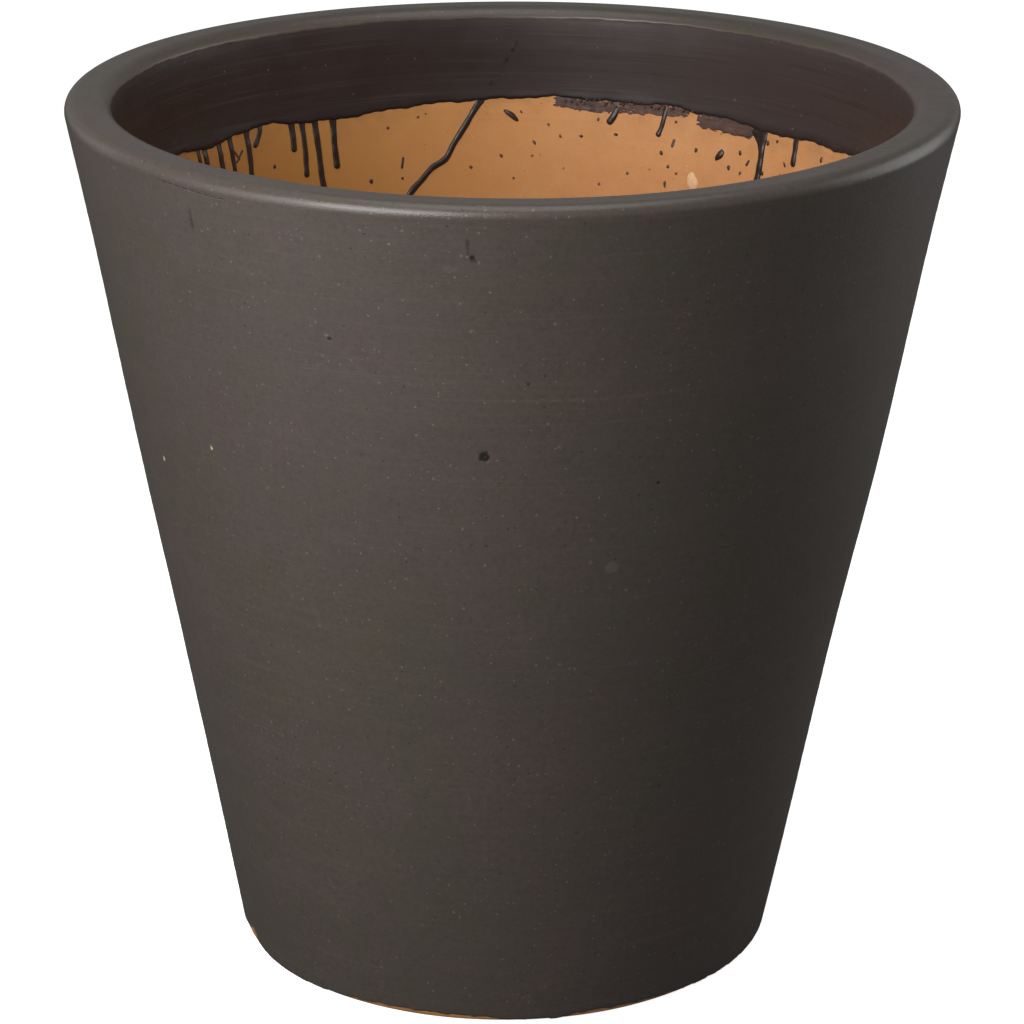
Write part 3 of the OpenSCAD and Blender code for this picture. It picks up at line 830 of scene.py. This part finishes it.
# Ticks: where each starts and ends, as degrees and depth, and its width
TICKS = [
    (-18.0, 71.5, -18.4, 77.3, 1.2), (27.8, 60.2, 27.4, 64.4, 1.5),
    (42.4, 64.6, 41.8, 67.6, 1.4), (49.3, 61.2, 50.0, 64.0, 1.3), (-48.1, 57, -49.9, 62.3, 1.3),
    (-50.1, 56.5, -49.1, 61.3, 1.1), (103, 54, 102, 58, 1.6), (-123, 70, -122, 75, 1.6)
]

DROP_SIDES = 18
DROP_RINGS = [0.3, 0.6, 0.82, 0.95, 1.05]


def drop(degrees, depth, width, length, slant=0.0, rise=0.3, ground=0.0):
    """A low dome of glaze with an uneven outline. Its edge sinks into what it lies on."""
    turn = np.linspace(0, 2 * math.pi, DROP_SIDES, endpoint=False)[None]
    reach = np.array(DROP_RINGS)[:, None]
    uneven = 1 + 0.10 * np.sin(2 * turn + degrees) + 0.08 * np.sin(3 * turn + depth)
    uneven = uneven + 0.04 * np.sin(5 * turn)
    along_drop = reach * uneven * np.cos(turn) * length / 2 * MM
    across_drop = reach * uneven * np.sin(turn) * width / 2 * MM
    lean_over = math.radians(slant)
    s = at_depth(depth * MM) + along_drop * math.cos(lean_over) - across_drop * math.sin(lean_over)
    side = along_drop * math.sin(lean_over) + across_drop * math.cos(lean_over)
    radius = np.interp(at_depth(depth * MM), along, outline[:, 0])
    up = rise * width * MM * np.sqrt(np.clip(1 - reach ** 2, 0, 1)) - BEAD_SUNK * (reach > 1) + 0 * turn
    skin = on_clay(s, math.radians(degrees) + side / radius, up + ground).reshape(-1, 3)
    top = on_clay(at_depth(depth * MM), math.radians(degrees), rise * width * MM + ground)
    j = np.arange(DROP_SIDES)
    next_j = (j + 1) % DROP_SIDES
    faces = [[0, a, b] for a, b in zip(1 + j, 1 + next_j)]
    for low in range(1, DROP_SIDES * (len(DROP_RINGS) - 1), DROP_SIDES):
        out = low + DROP_SIDES
        faces += np.stack([low + j, out + j, out + next_j, low + next_j], -1).tolist()
    faces.append((out + j)[::-1].tolist())
    return np.concatenate([[top], skin]), faces


# Crumbs of dry glaze along the band's edge: degrees of the first and the last, how many, and depth
CRUMBS = (9, 31, 30)
CRUMB_DEPTH = 45.6

# Small drops dried thin and fired brown.
thinness_and_glint = [0.75 if width < 1.75 else 0.1 for _, _, width, _, _ in DROPS]
spatter = [drop(*sizes, rise=0.3 * (1 - 0.6 * thin)) for sizes, thin in zip(DROPS, thinness_and_glint)]
for k in range(CRUMBS[2]):
    degrees = CRUMBS[0] + (CRUMBS[1] - CRUMBS[0]) * k / CRUMBS[2] + 0.4 * math.sin(7 * k)
    depth = CRUMB_DEPTH + 1.8 * math.sin(5.3 * k) * math.cos(1.7 * k)
    size = 1.1 + 0.5 * math.sin(3.1 * k)
    spatter.append(drop(degrees, depth, size, size * 1.3, 40 * k, rise=0.55, ground=BAND_COAT))
for start_degrees, start_depth, end_degrees, end_depth, width in TICKS:
    spatter.append(bead([(start_degrees, start_depth), (end_degrees, end_depth)], width * MM, swell=0.1))
# The crumbs and ticks are painted a lighter brown too; on the crumbs this is partly painted glint, standing
# for the pale glossy reflections on them.
thinness_and_glint += [0.4] * (len(spatter) - len(thinness_and_glint))
add_piece("glaze_spatter", *join(spatter), "glaze_spatter", "run_glaze", run_glaze,
          thin=on_each(spatter, thinness_and_glint))

# ---------------------------------------------------------------------------------------------
# Brush marks: dry strokes of the band's glaze just under its edge, thin and broken, so that the
# clay shows through them in holes.
# ---------------------------------------------------------------------------------------------
# Strokes: degrees of the start and the end, depth of the start and the end, width, how dry
STROKES = [
    (7, 14, 46.0, 47.6, 5.2, 0.34), (12.5, 30, 48.0, 46.6, 5.4, 0.44), (31.5, 42.4, 49.5, 50.8, 6.6, 0.28)
]
STROKE_GRID = 0.35 * MM


def hole(across, down, seed):
    """Chance from about -1 to 1 that the glaze took, in patches drawn out along the brush's way."""
    return noise.fractal(Vector((0.35 * across, 1.1 * down, 7.7 + seed)), 1.0, 2.0, 4)


def stroke(first, last, first_depth, last_depth, width, dry):
    """A patch of thin glaze. It stands above the clay where it took, and sinks into it in holes."""
    middle = at_depth((first_depth + last_depth) / 2 * MM)
    radius = np.interp(middle, along, outline[:, 0])
    length = math.radians(last - first) * radius
    columns = int(length / STROKE_GRID)
    rows = int(width * 1.3 * MM / STROKE_GRID)
    u = np.linspace(0, 1, columns)[None]
    v = np.linspace(-1.3, 1.3, rows)[:, None]
    angle = np.radians(first + (last - first) * u)
    s = at_depth((first_depth + (last_depth - first_depth) * u) * MM) + v * width / 2 * MM
    ends = np.clip(np.minimum(u, 1 - u) * length / (2.5 * MM), 0, 1)
    taken = 1.1 - dry - np.abs(v) ** 3 * 0.6 - (1 - ends) * 0.6
    holes = np.array([[hole(a * radius / MM, b / MM, first) for a in angle[0]] for b in s[:, 0] - s[0, 0]])
    up = np.clip((taken + holes * 0.9) * 0.9, -0.25, 0.32) * MM
    points = on_clay(s, angle + 0 * s, up)
    i = np.arange(rows - 1)[:, None] * columns
    j = np.arange(columns - 1)[None]
    faces = np.stack([i + j, i + columns + j, i + columns + j + 1, i + j + 1], -1).reshape(-1, 4)
    standing = (up.ravel() > -0.2 * MM)[faces].any(1)
    used, index = np.unique(faces[standing], return_inverse=True)
    return points.reshape(-1, 3)[used], index.reshape(-1, 4).tolist()


WASH_THIN = (0.130, 0.064, 0.043)
WASH_THICK = (0.048, 0.028, 0.024)

thin_wash, tree, shader = new_material("thin brown wash")
position = object_position(tree)
brush = place(tree, wheel_lines, position=position, lines=900.0, waver=30.0)
uneven = place(tree, mottle, position=position, scale=120.0, contrast=2.6)
colour = tint(tree, uneven, WASH_THICK, WASH_THIN)
colour = tint(tree, ramp(tree, brush, 0.45, 0.75, 0.0, 0.5), colour, BAND_BROWN)
skin = place(tree, grain, position=position, scale=900.0)
roughness = ramp(tree, cloud(tree, position, 350.0), 0.3, 0.7, 0.5, 0.75)
connect(tree, shader, colour, roughness, skin, 0.1)
add_piece("brush_marks", *join([stroke(*sizes) for sizes in STROKES]), "brush_marks", "brown_glaze",
          thin_wash)

# ---------------------------------------------------------------------------------------------
# Slip dab: one dab of pale liquid clay that was wiped onto the inner wall before firing.
# ---------------------------------------------------------------------------------------------
# The dab: degrees from the far side, depth, width, length and slant in degrees
SLIP_DAB = (31.8, 79.5, 6.2, 8.6, 8.0)

SLIP_PALE = (0.900, 0.600, 0.340)
SLIP_THIN = (0.800, 0.500, 0.260)

slip, tree, shader = new_material("pale slip")
position = object_position(tree)
colour = tint(tree, place(tree, mottle, position=position, scale=160.0, contrast=2.4), SLIP_THIN, SLIP_PALE)
skin = place(tree, grain, position=position, scale=800.0)
colour = tint(tree, ramp(tree, skin, 0.45, 0.75, 0.0, 0.25), colour, CLAY_PALE)
roughness = ramp(tree, cloud(tree, position, 240.0), 0.3, 0.7, 0.6, 0.8)
connect(tree, shader, colour, roughness, skin, 0.15)
add_piece("slip_dab", *drop(*SLIP_DAB, rise=0.09), "slip_dab", "pale_slip", slip)

# ---------------------------------------------------------------------------------------------
# Studio: a pale floor and soft lights.
# ---------------------------------------------------------------------------------------------
FLOOR_SIZE = 12
FLOOR_GAP = 0.1 * MM
FLOOR_PALE = (0.80, 0.80, 0.80)
# What the floor gives back to the pot's sides, as under a shaded set
FLOOR_BOUNCE = (0.12, 0.12, 0.12)
# How bright the floor and the far wall look, and how much light comes from all round
BACKDROP_WHITE = 0.85
ROOM_LIGHT = 0.24
# Lights: name, degrees to the right of the front, degrees up, metres away, width, height, watts
LIGHTS = [
    ("key", -30, 32, 1.0, 0.5, 0.5, 5.2),
    ("key side", -50, 15, 1.0, 0.9, 0.8, 3.2),
    ("key near", -35, 24, 0.8, 0.4, 0.4, 0.9),
    ("right rim", 108, 8, 1.4, 1.1, 1.4, 7.0),
    ("left rim", -120, 15, 1.4, 0.35, 1.0, 0.6),
    ("top", 0, 85, 1.4, 1.0, 1.0, 5.0),
]

floor_mesh = bpy.data.meshes.new("floor")
half = FLOOR_SIZE / 2
corners = [(-half, -half, -FLOOR_GAP), (half, -half, -FLOOR_GAP), (half, half, -FLOOR_GAP),
           (-half, half, -FLOOR_GAP)]
floor_mesh.from_pydata(corners, [], [(0, 1, 2, 3)])
floor_object = bpy.data.objects.new("floor", floor_mesh)
scene.collection.objects.link(floor_object)
floor_paint, tree, shader = new_material("floor")
shader.inputs["Roughness"].default_value = 0.9
shader.inputs["Emission Color"].default_value = (1, 1, 1, 1)
seen = add(tree, "LightPath").outputs["Is Camera Ray"]
tree.links.new(tint(tree, seen, FLOOR_BOUNCE, FLOOR_PALE), shader.inputs["Base Color"])
tree.links.new(calc(tree, "MULTIPLY", seen, BACKDROP_WHITE), shader.inputs["Emission Strength"])
floor_mesh.materials.append(floor_paint)

scene.world = bpy.data.worlds.new("studio")
scene.world.use_nodes = True
tree = scene.world.node_tree
seen = add(tree, "LightPath").outputs["Is Camera Ray"]
brightness = calc(tree, "MULTIPLY_ADD", seen, 1.0 - ROOM_LIGHT, ROOM_LIGHT)
tree.links.new(brightness, tree.nodes["Background"].inputs["Strength"])
tree.nodes["Background"].inputs["Color"].default_value = (1, 1, 1, 1)
scene.view_settings.view_transform = "Standard"

for name, right, up, away, width, height, watts in LIGHTS:
    light = bpy.data.lights.new(name, "AREA")
    light.shape = "RECTANGLE"
    light.size = width
    light.size_y = height
    light.energy = watts
    lamp = bpy.data.objects.new(name, light)
    turn, rise = math.radians(right), math.radians(up)
    direction = Vector((math.sin(turn) * math.cos(rise), -math.cos(turn) * math.cos(rise), math.sin(rise)))
    lamp.location = look_at + direction * away
    lamp.rotation_euler = direction.to_track_quat("Z", "Y").to_euler()
    scene.collection.objects.link(lamp)
